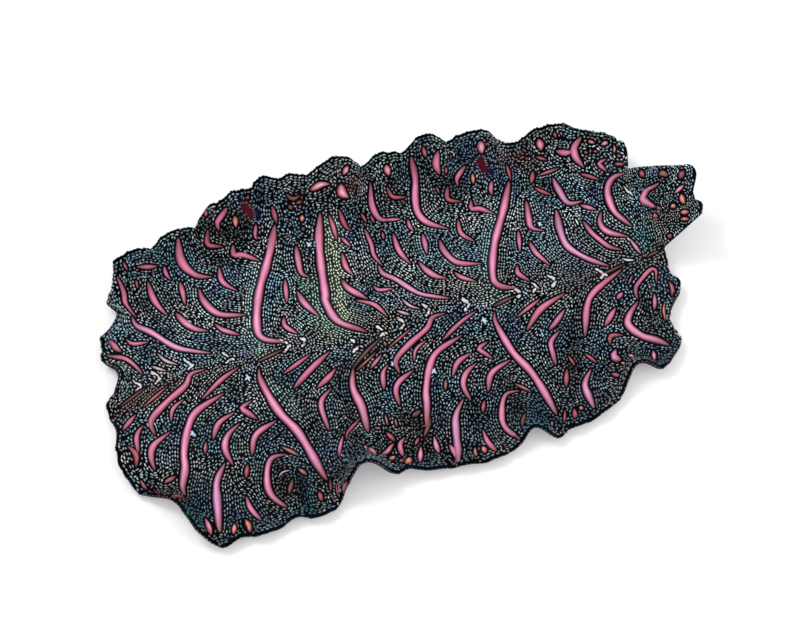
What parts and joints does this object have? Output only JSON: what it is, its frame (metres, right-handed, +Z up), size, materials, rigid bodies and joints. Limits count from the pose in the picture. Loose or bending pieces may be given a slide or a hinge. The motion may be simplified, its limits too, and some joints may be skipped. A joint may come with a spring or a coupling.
{
  "type": "persian carpet flatworm",
  "caption": "Life-size still model of a persian carpet flatworm: a flat ruffled body, striped and dotted, resting on its belly with the head raised.",
  "frame": {"origin": "on the floor, under the middle of the body", "axes": "+X to the head, +Y to the animal's left, +Z up"},
  "size_m": [0.0805, 0.0455, 0.0096],
  "materials": {
    "flesh": "wet, smooth skin, near-black with pink stripes and pale dots"
  },
  "bodies": {
    "root": {"body_front": "flesh", "body_middle": "flesh", "body_rear": "flesh", "feeler_left": "flesh", "feeler_right": "flesh", "head": "flesh", "margin_left_1": "flesh", "margin_left_2": "flesh", "margin_left_3": "flesh", "margin_left_4": "flesh", "margin_left_5": "flesh", "margin_left_6": "flesh", "margin_left_7": "flesh", "margin_left_8": "flesh", "margin_right_1": "flesh", "margin_right_2": "flesh", "margin_right_3": "flesh", "margin_right_4": "flesh", "margin_right_5": "flesh", "margin_right_6": "flesh", "neck": "flesh", "tail": "flesh"}
  },
  "joints": []
}
